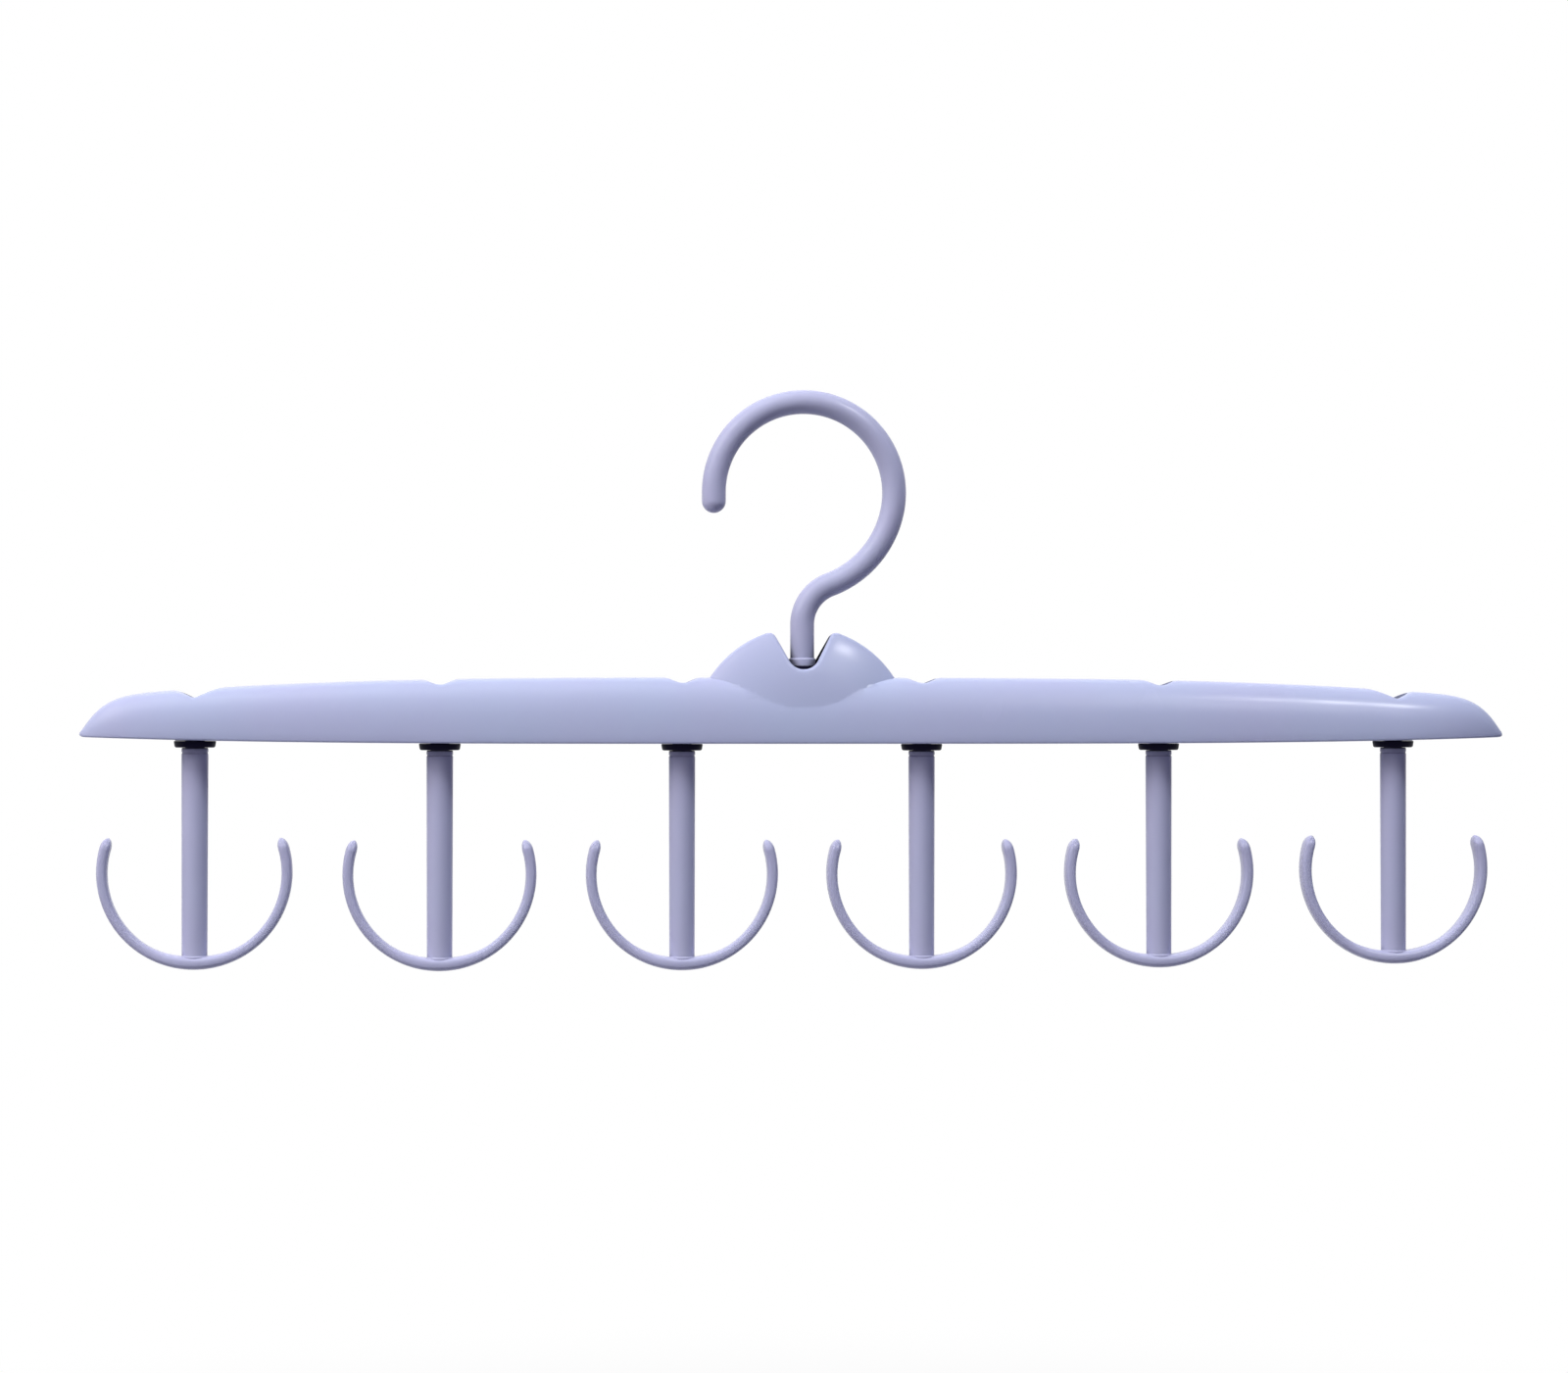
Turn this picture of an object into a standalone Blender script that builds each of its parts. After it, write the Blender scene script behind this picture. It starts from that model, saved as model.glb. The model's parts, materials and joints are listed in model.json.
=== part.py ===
"""Rotating multi-hook hanger: a bowed beam on a swivelling top hook, with six swivelling double hooks.

Lengths are in metres, +Z is up and +X runs along the beam. The origin is the highest point inside the
loop of the top hook, where the hanger rests on a rail.
"""
import math

import bmesh
import bpy
from mathutils import Matrix, Vector

# Beam: a bowed channel, open underneath, with a pointed nose past each end hook
hook_count = 6
hook_pitch = 0.064
end_overhang = 0.030
beam_depth = 0.017
beam_height = 0.0176
beam_wall = 0.002
nose_block = 0.009
underside_bow = 0.0018
shoulder_drop = 0.0075
bow_power = 3.9
shoulder_power = 3.5
nose_power = 6
section_power = 2.6

# Notches in the top edge, one over each double hook, with a window into the hollow
notch_depth = 0.0013
end_notch_depth = 0.0018
notch_round = 0.0014
notch_half_angle = math.radians(65)
window_length = 0.0046
window_depth = 0.006

# Hub: a flat lens that stands out of the middle of the beam, with a V-notch for the top hook
hub_radius = 0.0292
hub_centre_height = 0.0018
hub_root_height = 0.003
hub_inset = 0.0005
hub_dome = 0.0043
hub_rim_round = 0.0018
vee_bottom_height = 0.0197
vee_round = 0.0043
vee_lip = 0.0006
vee_half_angle = math.radians(28)
floor_thickness = 0.003
floor_length = 0.018

# Swivels: a necked hook with a split snap head, turning in a plain bore
neck_diameter = 0.005
head_diameter = 0.0067
head_height = 0.0028
slot_width = 0.0016
boss_diameter = 0.0104
boss_height = 0.0065
rib_thickness = 0.0018
running_clearance = 0.0003
seat_gap = 0.0003

# Dark washers
washer_diameter = 0.0110
washer_thickness = 0.0019
washer_edge_round = 0.0013
top_washer_thickness = 0.0012

# Double hook: a round stem on a flat foot that thins into two upturned arms
hook_drop = 0.0600
stem_top_diameter = 0.0070
stem_foot_diameter = 0.0067
ring_diameter = 0.0071
ring_height = 0.0014
groove_depth = 0.0002
groove_width = 0.0005
arc_outer_radius = 0.0255
foot_thickness = 0.0034
foot_depth = 0.0086
bar_thickness = 0.0028
bar_depth = 0.0056
tip_thickness = 0.0030
tip_depth = 0.0066
tip_rise_angle = math.radians(22)
foot_spread_angle = math.radians(38)
bar_power = 3.2

# Top hook: one rod bent into a loop over the swivel axis
rod_diameter = 0.0064
shank_length = 0.0087
bend_radius = 0.0114
bend_turn = math.radians(69.3)
side_radius = 0.0268
side_turn = math.radians(58.3)
loop_radius = 0.0241
tip_drop = 0.0024
collar_diameter = 0.0073
collar_height = 0.0021
collar_edge_round = 0.0004

# How far a cutter runs past the face that it opens
cut_overrun = 0.001

# Facets
beam_stations = 40
arch_segments = 12
hub_steps = 56
turn_steps = 20
stem_steps = 16
arm_segments = 26
bar_sides = 10
loop_segments = 22
bend_segments = 6
round_segments = 4
sharp_angle = math.radians(35)

# Sizes that follow from the ones above
end_hook_x = hook_pitch * (hook_count - 1) / 2
half_length = end_hook_x + end_overhang
half_depth = beam_depth / 2
hub_half_depth = half_depth - hub_inset
rod_radius = rod_diameter / 2
neck_radius = neck_diameter / 2
head_radius = head_diameter / 2
bore_radius = neck_radius + running_clearance
collar_radius = collar_diameter / 2
pocket_radius = collar_radius + running_clearance
washer_radius = washer_diameter / 2

# Heights over the underside of the beam at its middle
floor_top = vee_bottom_height - vee_lip
floor_bottom = floor_top - floor_thickness
top_washer_bottom = floor_top + seat_gap
collar_bottom = top_washer_bottom + top_washer_thickness + seat_gap
collar_top = collar_bottom + collar_height
bend_centre_height = collar_top + shank_length

# Centres of the top hook's arcs, as place along the beam and height; each arc runs smoothly into the next
bend_centre = (bend_radius, bend_centre_height)
side_centre = (bend_radius - (bend_radius + side_radius) * math.cos(bend_turn),
               bend_centre_height + (bend_radius + side_radius) * math.sin(bend_turn))
side_end = side_turn - bend_turn
loop_centre = (side_centre[0] + (side_radius - loop_radius) * math.cos(side_end),
               side_centre[1] + (side_radius - loop_radius) * math.sin(side_end))
crown_height = loop_centre[1] + loop_radius - rod_radius

# Levels of a double hook, counted from its seat under the beam
washer_top = -seat_gap
washer_bottom = washer_top - washer_thickness
ring_top = washer_bottom - seat_gap
ring_bottom = ring_top - ring_height
groove_bottom = ring_bottom - groove_width
stem_bottom = foot_thickness / 2 - hook_drop
arc_centre_level = arc_outer_radius - hook_drop


def clear_scene():
    """Remove what a new Blender file holds."""
    for item in list(bpy.data.objects):
        bpy.data.objects.remove(item, do_unlink=True)


def make_collection(name):
    """Add a collection to the scene."""
    collection = bpy.data.collections.new(name)
    bpy.context.scene.collection.children.link(collection)
    return collection


def make_material(name, hex_colour, roughness):
    """A plain plastic in one colour."""
    channels = [int(hex_colour[place:place + 2], 16) / 255 for place in (0, 2, 4)]
    linear = [((channel + 0.055) / 1.055) ** 2.4 for channel in channels]
    material = bpy.data.materials.new(name)
    material.use_nodes = True
    shader = material.node_tree.nodes["Principled BSDF"]
    shader.inputs["Base Color"].default_value = (*linear, 1)
    shader.inputs["Roughness"].default_value = roughness
    shader.inputs["Metallic"].default_value = 0
    return material


def add_piece(name, mesh, material, collection):
    """Add a sub-part, shaded smooth except over its edges."""
    mesh.materials.clear()
    mesh.materials.append(material)
    mesh.shade_smooth()
    mesh.set_sharp_from_angle(angle=sharp_angle)
    piece = bpy.data.objects.new(name, mesh)
    collection.objects.link(piece)
    return piece


def add_tool(name, mesh, collection):
    """Add a shape that only cuts or fills a sub-part."""
    tool = bpy.data.objects.new(name, mesh)
    tool.hide_render = True
    tool.display_type = "WIRE"
    collection.objects.link(tool)
    return tool


def apply_tool(piece, tool, operation):
    """Cut, fill or trim a sub-part with a tool."""
    modifier = piece.modifiers.new(tool.name, "BOOLEAN")
    modifier.operation = operation
    modifier.solver = "EXACT"
    modifier.object = tool


def baked_mesh(source, name):
    """The mesh of an object with its modifiers, or of a curve, welded; the object is removed."""
    bpy.context.view_layer.update()
    evaluated = source.evaluated_get(bpy.context.evaluated_depsgraph_get())
    mesh = bpy.data.meshes.new_from_object(evaluated)
    mesh.name = name
    mesh.transform(source.matrix_world)
    bpy.data.objects.remove(source, do_unlink=True)
    shape = bmesh.new()
    shape.from_mesh(mesh)
    bmesh.ops.remove_doubles(shape, verts=shape.verts, dist=1e-7)
    bmesh.ops.recalc_face_normals(shape, faces=shape.faces)
    shape.to_mesh(mesh)
    shape.free()
    return mesh


def lofted_mesh(name, rings):
    """A closed skin over a row of rings that all have the same number of points."""
    shape = bmesh.new()
    rows = [[shape.verts.new(point) for point in ring] for ring in rings]
    sides = len(rings[0])
    for row, following in zip(rows, rows[1:]):
        for side in range(sides):
            beside = (side + 1) % sides
            shape.faces.new((row[side], row[beside], following[beside], following[side]))
    shape.faces.new(rows[0])
    shape.faces.new(rows[-1])
    bmesh.ops.remove_doubles(shape, verts=shape.verts, dist=1e-7)
    bmesh.ops.recalc_face_normals(shape, faces=shape.faces)
    mesh = bpy.data.meshes.new(name)
    shape.to_mesh(mesh)
    shape.free()
    return mesh


def turned_mesh(name, profile, steps, closed=False):
    """A solid of revolution about Z from a profile that runs down its outer side."""
    points = [(radius, 0, height) for radius, height in profile]
    edges = [(place, place + 1) for place in range(len(points) - 1)]
    if closed:
        edges.append((len(points) - 1, 0))
    outline = bpy.data.meshes.new(name)
    outline.from_pydata(points, edges, [])
    lathe = bpy.data.objects.new(name, outline)
    bpy.context.scene.collection.objects.link(lathe)
    screw = lathe.modifiers.new("turn", "SCREW")
    screw.steps = steps
    screw.render_steps = steps
    screw.use_merge_vertices = True
    screw.merge_threshold = 1e-6
    return baked_mesh(lathe, name)


def prism_mesh(name, outlines, depth):
    """Outlines in the XZ plane, filled and extended to both sides along Y."""
    curve = bpy.data.curves.new(name, "CURVE")
    curve.dimensions = "2D"
    curve.fill_mode = "BOTH"
    curve.extrude = depth / 2
    for outline in outlines:
        spline = curve.splines.new("POLY")
        spline.points.add(len(outline) - 1)
        for point, (across, height) in zip(spline.points, outline):
            point.co = (across, height, 0, 1)
        spline.use_cyclic_u = True
    flat = bpy.data.objects.new(name, curve)
    flat.rotation_euler.x = math.pi / 2
    bpy.context.scene.collection.objects.link(flat)
    return baked_mesh(flat, name)


def cylinders_mesh(name, radius, spans, steps):
    """Upright cylinders, each given as its place and its lower and upper level."""
    shape = bmesh.new()
    for place, low, high in spans:
        middle = Matrix.Translation((place, 0, (low + high) / 2))
        bmesh.ops.create_cone(shape, cap_ends=True, segments=steps, radius1=radius, radius2=radius,
                              depth=high - low, matrix=middle)
    mesh = bpy.data.meshes.new(name)
    shape.to_mesh(mesh)
    shape.free()
    return mesh


def boxes_mesh(name, length, depth, spans):
    """Boxes of one length and depth, each given as its place and its lower and upper level."""
    shape = bmesh.new()
    for place, low, high in spans:
        size = Matrix.Diagonal((length, depth, high - low, 1))
        middle = Matrix.Translation((place, 0, (low + high) / 2))
        bmesh.ops.create_cube(shape, size=1, matrix=middle @ size)
    mesh = bpy.data.meshes.new(name)
    shape.to_mesh(mesh)
    shape.free()
    return mesh


def arc_points(centre, radius, start, end, segments):
    """Points along an arc in a plane, ends included."""
    angles = [start + (end - start) * step / segments for step in range(segments + 1)]
    return [(centre[0] + radius * math.cos(angle), centre[1] + radius * math.sin(angle)) for angle in angles]


def rounded_power(value, power):
    """A signed power, which turns a circle's sine and cosine into a squarer curve."""
    return math.copysign(abs(value) ** (2 / power), value)


def nose_share(place):
    """How far a place along the beam lies into the nose: 0 at the end hook, 1 at the tip."""
    return max(0, (abs(place) - end_hook_x) / end_overhang)


def underside_at(place):
    """Height of the bowed underside over its own middle."""
    return underside_bow * (abs(place) / half_length) ** bow_power


def height_at(place):
    """Height of the beam over its underside."""
    shoulder = beam_height - shoulder_drop * (abs(place) / half_length) ** shoulder_power
    return shoulder * (1 - nose_share(place) ** nose_power)


def half_depth_at(place):
    """Half of the beam's depth at its underside."""
    return half_depth * math.sqrt(1 - nose_share(place) ** 2)


def beam_ring(place, wall, skirt):
    """One section of the beam, drawn in by a wall and let down under the underside by a skirt."""
    low = underside_at(place)
    height = height_at(place) - wall
    depth = half_depth_at(place) - wall
    ring = []
    for step in range(arch_segments + 1):
        angle = math.pi * step / arch_segments
        across = depth * rounded_power(math.cos(angle), section_power)
        rise = height * rounded_power(math.sin(angle), section_power)
        ring.append(Vector((place, across, low + rise)))
    if skirt:
        ring.append(Vector((place, -depth, low - skirt)))
        ring.append(Vector((place, depth, low - skirt)))
    return ring


def beam_body_mesh():
    """The outer form of the beam, closed underneath; its stations crowd towards the tips."""
    turns = [math.pi * (step / beam_stations - 1 / 2) for step in range(beam_stations + 1)]
    return lofted_mesh("beam", [beam_ring(half_length * math.sin(turn), 0, 0) for turn in turns])


def beam_hollow_mesh():
    """The room inside the beam, open underneath, that leaves a solid block in each nose."""
    reach = half_length - nose_block
    turns = [math.pi * (step / beam_stations - 1 / 2) for step in range(beam_stations + 1)]
    rings = [beam_ring(reach * math.sin(turn), beam_wall, cut_overrun) for turn in turns]
    return lofted_mesh("beam_hollow", rings)


def hub_mesh(name, wall):
    """The hub's lens, drawn in by a wall and cut off level inside the beam."""
    radius = hub_radius - wall
    middle = hub_half_depth - wall
    rim = min(hub_rim_round, (middle - hub_dome) / 2)
    edge = radius - rim
    face = [(edge * step / round_segments, middle - hub_dome * (step / round_segments) ** 2)
            for step in range(round_segments + 1)]
    rim_level = face[-1][1] - rim
    corner = arc_points((edge, rim_level), rim, math.pi / 2, 0, round_segments)
    upper = face + corner[1:]
    lower = [(across, -level) for across, level in reversed(upper)]
    mesh = turned_mesh(name, upper + lower, hub_steps)
    mesh.transform(Matrix.Translation((0, 0, hub_centre_height)) @ Matrix.Rotation(math.pi / 2, 4, "X"))
    shape = bmesh.new()
    shape.from_mesh(mesh)
    parts = shape.verts[:] + shape.edges[:] + shape.faces[:]
    level = Vector((0, 0, hub_root_height))
    cut = bmesh.ops.bisect_plane(shape, geom=parts, plane_co=level, plane_no=(0, 0, -1), clear_outer=True)
    rim_edges = [item for item in cut["geom_cut"] if isinstance(item, bmesh.types.BMEdge)]
    bmesh.ops.edgeloop_fill(shape, edges=rim_edges)
    bmesh.ops.recalc_face_normals(shape, faces=shape.faces)
    shape.to_mesh(mesh)
    shape.free()
    return mesh


def vee_outline(place, bottom, top, rounding, lean):
    """A V with a round bottom and leaning flanks, as points of its outline."""
    tall = top - bottom - rounding + rounding * math.sin(lean)
    half_width = rounding * math.cos(lean) + tall * math.tan(lean)
    centre = (place, bottom + rounding)
    round_part = arc_points(centre, rounding, math.pi + lean, 2 * math.pi - lean, 2 * round_segments)
    return [(place - half_width, top)] + round_part + [(place + half_width, top)]


def hook_places():
    """Places of the double hooks along the beam."""
    return [hook_pitch * (number - (hook_count - 1) / 2) for number in range(hook_count)]


def seat_level(place):
    """Level of the flat seat over a double hook, clear of the bowed underside at the washer's inner edge."""
    return underside_at(max(0, abs(place) - washer_radius))


def ridge_at(place):
    """Level of the beam's top edge."""
    return underside_at(place) + height_at(place)


def notch_outline(place):
    """The outline of a notch, run on above the beam; the notches by the noses are deeper."""
    ridge = ridge_at(place)
    depth = end_notch_depth if abs(place) == end_hook_x else notch_depth
    return vee_outline(place, ridge - depth, ridge + cut_overrun, notch_round, notch_half_angle)


def hub_vee_outline():
    """The outline of the V-notch in the hub, run on above the hub."""
    top = hub_centre_height + hub_radius + cut_overrun
    return vee_outline(0, vee_bottom_height, top, vee_round, vee_half_angle)


def make_beam(material, parts, tools):
    """The beam with its hub, hollow, bosses, ribs, floor, bores, windows and notches."""
    places = hook_places()
    seats = [seat_level(place) for place in places]
    beam = add_piece("beam", beam_body_mesh(), material, parts)
    apply_tool(beam, add_tool("hub_fill", hub_mesh("hub_fill", 0), tools), "UNION")
    apply_tool(beam, add_tool("hollow_cut", beam_hollow_mesh(), tools), "DIFFERENCE")
    apply_tool(beam, add_tool("hub_cut", hub_mesh("hub_cut", beam_wall), tools), "DIFFERENCE")

    rib_spans = [(place, seat + cut_overrun, seat + boss_height - cut_overrun)
                 for place, seat in zip(places, seats)]
    ribs = boxes_mesh("rib_fill", rib_thickness, beam_depth - beam_wall, rib_spans)
    apply_tool(beam, add_tool("rib_fill", ribs, tools), "UNION")
    boss_spans = [(place, seat, seat + boss_height) for place, seat in zip(places, seats)]
    bosses = cylinders_mesh("boss_fill", boss_diameter / 2, boss_spans, turn_steps)
    apply_tool(beam, add_tool("boss_fill", bosses, tools), "UNION")
    floor_depth = 2 * (hub_half_depth - hub_dome / 2 - beam_wall / 4)
    floor = boxes_mesh("floor_fill", floor_length, floor_depth, [(0, floor_bottom, floor_top)])
    apply_tool(beam, add_tool("floor_fill", floor, tools), "UNION")

    bore_spans = [(place, seat - cut_overrun, seat + boss_height + cut_overrun)
                  for place, seat in zip(places, seats)]
    bore_spans.append((0, floor_bottom - cut_overrun, floor_top + cut_overrun))
    bores = cylinders_mesh("bore_cut", bore_radius, bore_spans, turn_steps)
    apply_tool(beam, add_tool("bore_cut", bores, tools), "DIFFERENCE")
    pocket_span = (0, floor_top, hub_centre_height + hub_radius + cut_overrun)
    pocket = cylinders_mesh("pocket_cut", pocket_radius, [pocket_span], turn_steps)
    apply_tool(beam, add_tool("pocket_cut", pocket, tools), "DIFFERENCE")
    window_spans = [(place, ridge_at(place) - beam_wall - cut_overrun, ridge_at(place) + cut_overrun)
                    for place in places]
    windows = boxes_mesh("window_cut", window_length, window_depth, window_spans)
    apply_tool(beam, add_tool("window_cut", windows, tools), "DIFFERENCE")
    outlines = [notch_outline(place) for place in places]
    outlines.append(hub_vee_outline())
    notches = prism_mesh("notch_cut", outlines, beam_depth + cut_overrun)
    apply_tool(beam, add_tool("notch_cut", notches, tools), "DIFFERENCE")
    return beam


def snap_head_profile(shoulder, direction):
    """Half of the profile of a snap head, from its tip to the neck under its shoulder."""
    lead = head_height * 2 / 3
    end = shoulder + direction * head_height
    return [
        (0, end),
        (neck_radius - running_clearance, end),
        (head_radius, end - direction * lead),
        (head_radius, shoulder),
        (neck_radius, shoulder),
    ]


def slot_mesh(name, shoulder, direction, grip):
    """The slot that lets a snap head close while it passes through its bore."""
    end = shoulder + direction * (head_height + cut_overrun)
    root = shoulder - direction * grip / 2
    return boxes_mesh(name, slot_width, head_diameter + cut_overrun, [(0, min(end, root), max(end, root))])


def ring_mesh(name, outer_radius, thickness, rounding):
    """A washer with a rounded lower edge, counted down from its upper face."""
    centre = (outer_radius - rounding, rounding - thickness)
    corner = arc_points(centre, rounding, 0, -math.pi / 2, round_segments)
    profile = [(bore_radius, 0), (outer_radius, 0)] + corner + [(bore_radius, -thickness)]
    return turned_mesh(name, profile, turn_steps, closed=True)


def bar_ring(angle, scale):
    """One section of the double hook's arc, at an angle from the foot."""
    blend = min(1, abs(angle) / foot_spread_angle)
    foot = (1 + math.cos(math.pi * blend)) / 2
    reach = abs(angle) / (math.pi / 2 + tip_rise_angle)
    bulb = max(0, 2 * reach - 1) ** 2
    thickness = bar_thickness + (foot_thickness - bar_thickness) * foot
    thickness = thickness + (tip_thickness - bar_thickness) * bulb
    depth = bar_depth + (foot_depth - bar_depth) * foot + (tip_depth - bar_depth) * bulb
    centre_radius = arc_outer_radius - thickness / 2
    ring = []
    for side in range(bar_sides):
        turn = 2 * math.pi * side / bar_sides
        outward = scale * thickness / 2 * rounded_power(math.cos(turn), bar_power)
        across = scale * depth / 2 * rounded_power(math.sin(turn), bar_power)
        radius = centre_radius + outward
        ring.append(Vector((radius * math.sin(angle), across, arc_centre_level - radius * math.cos(angle))))
    return ring


def arms_mesh():
    """The foot and the two arms in one bar, with round tips."""
    tip_angle = math.pi / 2 + tip_rise_angle
    rounding_angle = tip_thickness / 2 / arc_outer_radius
    full_angle = tip_angle - rounding_angle
    places = [full_angle * (2 * step / arm_segments - 1) for step in range(arm_segments + 1)]
    turns = [math.pi / 2 * step / (round_segments + 1 / 2) for step in range(1, round_segments + 1)]
    ends = [(full_angle + rounding_angle * math.sin(turn), math.cos(turn)) for turn in turns]
    stations = [(-angle, scale) for angle, scale in reversed(ends)]
    stations = stations + [(angle, 1) for angle in places] + ends
    return lofted_mesh("arms", [bar_ring(angle, scale) for angle, scale in stations])


def stem_mesh():
    """The stem of a double hook with its ring, groove, neck and snap head."""
    profile = snap_head_profile(boss_height + running_clearance, 1)
    profile = profile + [
        (neck_radius, ring_top),
        (ring_diameter / 2, ring_top),
        (ring_diameter / 2, ring_bottom),
        (stem_top_diameter / 2 - groove_depth, ring_bottom),
        (stem_top_diameter / 2 - groove_depth, groove_bottom),
        (stem_top_diameter / 2, groove_bottom),
        (stem_foot_diameter / 2, stem_bottom),
        (0, stem_bottom),
    ]
    return turned_mesh("stem", profile, stem_steps)


def double_hook_mesh(material, parts, tools):
    """The mesh that all the double hooks share."""
    hook = add_piece("hook_form", stem_mesh(), material, parts)
    apply_tool(hook, add_tool("arms_fill", arms_mesh(), tools), "UNION")
    slot = slot_mesh("stem_slot_cut", boss_height + running_clearance, 1, boss_height)
    apply_tool(hook, add_tool("stem_slot_cut", slot, tools), "DIFFERENCE")
    return baked_mesh(hook, "double_hook")


def rod_path():
    """Points of the top hook's centre line, from inside the collar to the tip, and their radius shares."""
    points = [(0, collar_bottom + collar_height / 2), (0, collar_top + shank_length / 2)]
    points = points + arc_points(bend_centre, bend_radius, math.pi, math.pi - bend_turn, bend_segments)
    points = points + arc_points(side_centre, side_radius, -bend_turn, side_end, bend_segments)[1:]
    points = points + arc_points(loop_centre, loop_radius, side_end, math.pi, loop_segments)[1:]
    shares = [1] * len(points)
    for step in range(round_segments + 1):
        turn = math.pi / 2 * step / (round_segments + 1 / 2)
        drop = tip_drop + rod_radius * math.sin(turn)
        points.append((loop_centre[0] - loop_radius, loop_centre[1] - drop))
        shares.append(math.cos(turn))
    return points, shares


def rod_mesh():
    """The bent rod of the top hook."""
    points, shares = rod_path()
    curve = bpy.data.curves.new("rod", "CURVE")
    curve.dimensions = "3D"
    curve.bevel_depth = rod_radius
    curve.bevel_resolution = 4
    curve.use_fill_caps = True
    spline = curve.splines.new("POLY")
    spline.points.add(len(points) - 1)
    for point, (across, height), share in zip(spline.points, points, shares):
        point.co = (across, 0, height - crown_height, 1)
        point.radius = share
    rod = bpy.data.objects.new("rod", curve)
    bpy.context.scene.collection.objects.link(rod)
    return baked_mesh(rod, "rod")


def make_top_hook(material, parts, tools):
    """The top hook: rod, collar, neck and snap head, with its origin inside the crown of the loop."""
    shoulder = floor_bottom - running_clearance
    edge = collar_edge_round
    upper = [(0, collar_top), (collar_radius - edge, collar_top), (collar_radius, collar_top - edge)]
    collar = upper + [(collar_radius, collar_bottom)]
    head = list(reversed(snap_head_profile(shoulder, -1)))
    profile = collar + [(neck_radius, collar_bottom)] + head
    mesh = turned_mesh("top_hook", profile, turn_steps)
    mesh.transform(Matrix.Translation((0, 0, -crown_height)))
    hook = add_piece("top_hook", mesh, material, parts)
    apply_tool(hook, add_tool("rod_fill", rod_mesh(), tools), "UNION")
    slot = slot_mesh("top_slot_cut", shoulder, -1, floor_thickness)
    slot.transform(Matrix.Translation((0, 0, -crown_height)))
    apply_tool(hook, add_tool("top_slot_cut", slot, tools), "DIFFERENCE")
    return hook


def main():
    """Build the hanger."""
    clear_scene()
    parts = make_collection("rotating_multi_hook_hanger")
    tools = make_collection("cutters")
    lavender = make_material("lavender_plastic", "B4B8E0", 0.35)
    dark = make_material("dark_plastic", "1C1A30", 0.5)

    top_hook = make_top_hook(lavender, parts, tools)
    beam = make_beam(lavender, parts, tools)
    beam.parent = top_hook
    beam.location.z = -crown_height
    for tool in tools.objects:
        if tool.name in beam.modifiers:
            tool.parent = beam

    top_washer_form = ring_mesh("top_washer", collar_radius, top_washer_thickness, collar_edge_round)
    top_washer = add_piece("top_washer", top_washer_form, dark, parts)
    top_washer.parent = beam
    top_washer.location.z = top_washer_bottom + top_washer_thickness

    washer_form = ring_mesh("swivel_washer", washer_radius, washer_thickness, washer_edge_round)
    hook_form = double_hook_mesh(lavender, parts, tools)
    for number, place in enumerate(hook_places(), start=1):
        level = seat_level(place)
        washer = add_piece(f"swivel_washer_{number}", washer_form, dark, parts)
        washer.parent = beam
        washer.location = (place, 0, level + washer_top)
        hook = add_piece(f"double_hook_{number}", hook_form, lavender, parts)
        hook.parent = beam
        hook.location = (place, 0, level)


main()
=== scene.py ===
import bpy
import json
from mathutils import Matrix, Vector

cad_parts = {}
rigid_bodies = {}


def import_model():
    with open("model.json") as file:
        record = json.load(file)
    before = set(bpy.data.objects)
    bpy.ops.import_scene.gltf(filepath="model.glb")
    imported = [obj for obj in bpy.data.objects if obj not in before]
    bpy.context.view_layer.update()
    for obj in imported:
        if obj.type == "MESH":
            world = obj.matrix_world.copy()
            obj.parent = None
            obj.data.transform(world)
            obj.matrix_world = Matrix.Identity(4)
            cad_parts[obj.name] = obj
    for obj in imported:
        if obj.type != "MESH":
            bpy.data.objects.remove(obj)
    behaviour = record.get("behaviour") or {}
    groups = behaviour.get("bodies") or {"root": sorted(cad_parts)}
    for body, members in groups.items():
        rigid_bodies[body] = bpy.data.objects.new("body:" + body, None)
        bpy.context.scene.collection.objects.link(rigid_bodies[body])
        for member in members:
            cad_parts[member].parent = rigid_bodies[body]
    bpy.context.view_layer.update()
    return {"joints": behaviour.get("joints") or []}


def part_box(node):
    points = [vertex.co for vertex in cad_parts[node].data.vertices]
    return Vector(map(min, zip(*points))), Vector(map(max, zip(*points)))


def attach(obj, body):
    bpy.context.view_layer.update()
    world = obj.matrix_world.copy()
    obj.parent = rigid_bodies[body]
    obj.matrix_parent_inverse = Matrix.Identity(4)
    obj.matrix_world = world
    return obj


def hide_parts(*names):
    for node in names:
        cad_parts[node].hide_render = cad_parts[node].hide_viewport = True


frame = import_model()

import json
import math

import bmesh
import bpy
from mathutils import Matrix, Vector, geometry

# Sizes are in mm and turns in radians, unless a note says otherwise. Heights are over the middle of the
# beam's underside, and on washers and double hooks over their seat under the beam.
mm = 0.001
beamLow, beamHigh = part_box("beam")
crown = -beamLow.z  # m, height of the rail's resting point over the underside of the beam
hookPlaces = [round(joint["pos_m"][0] / mm, 3) for joint in frame["joints"] if joint["parent"] == "beam"]
print("stage: packed model loaded, crown", round(crown / mm, 2), "mm over the beam's underside")

meshing = {
    "weld": 0.5e-6,      # m, points closer than this become one
    "tolerance": 1e-6,   # for the triangles of the hub's face
    "overcut": 1,        # how far a cutter stands out of what it cuts
    "roundSteps": 64, "boreSteps": 40,
    "sharpFrom": 32,     # degrees between two faces from which their edge stays crisp
    "shellSharpFrom": 34,
}


def hexToLinear(text):
    channels = [int(text[place:place + 2], 16) / 255 for place in (0, 2, 4)]
    linear = [c / 12.92 if c <= 0.04045 else ((c + 0.055) / 1.055) ** 2.4 for c in channels]
    return (*linear, 1)


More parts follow.
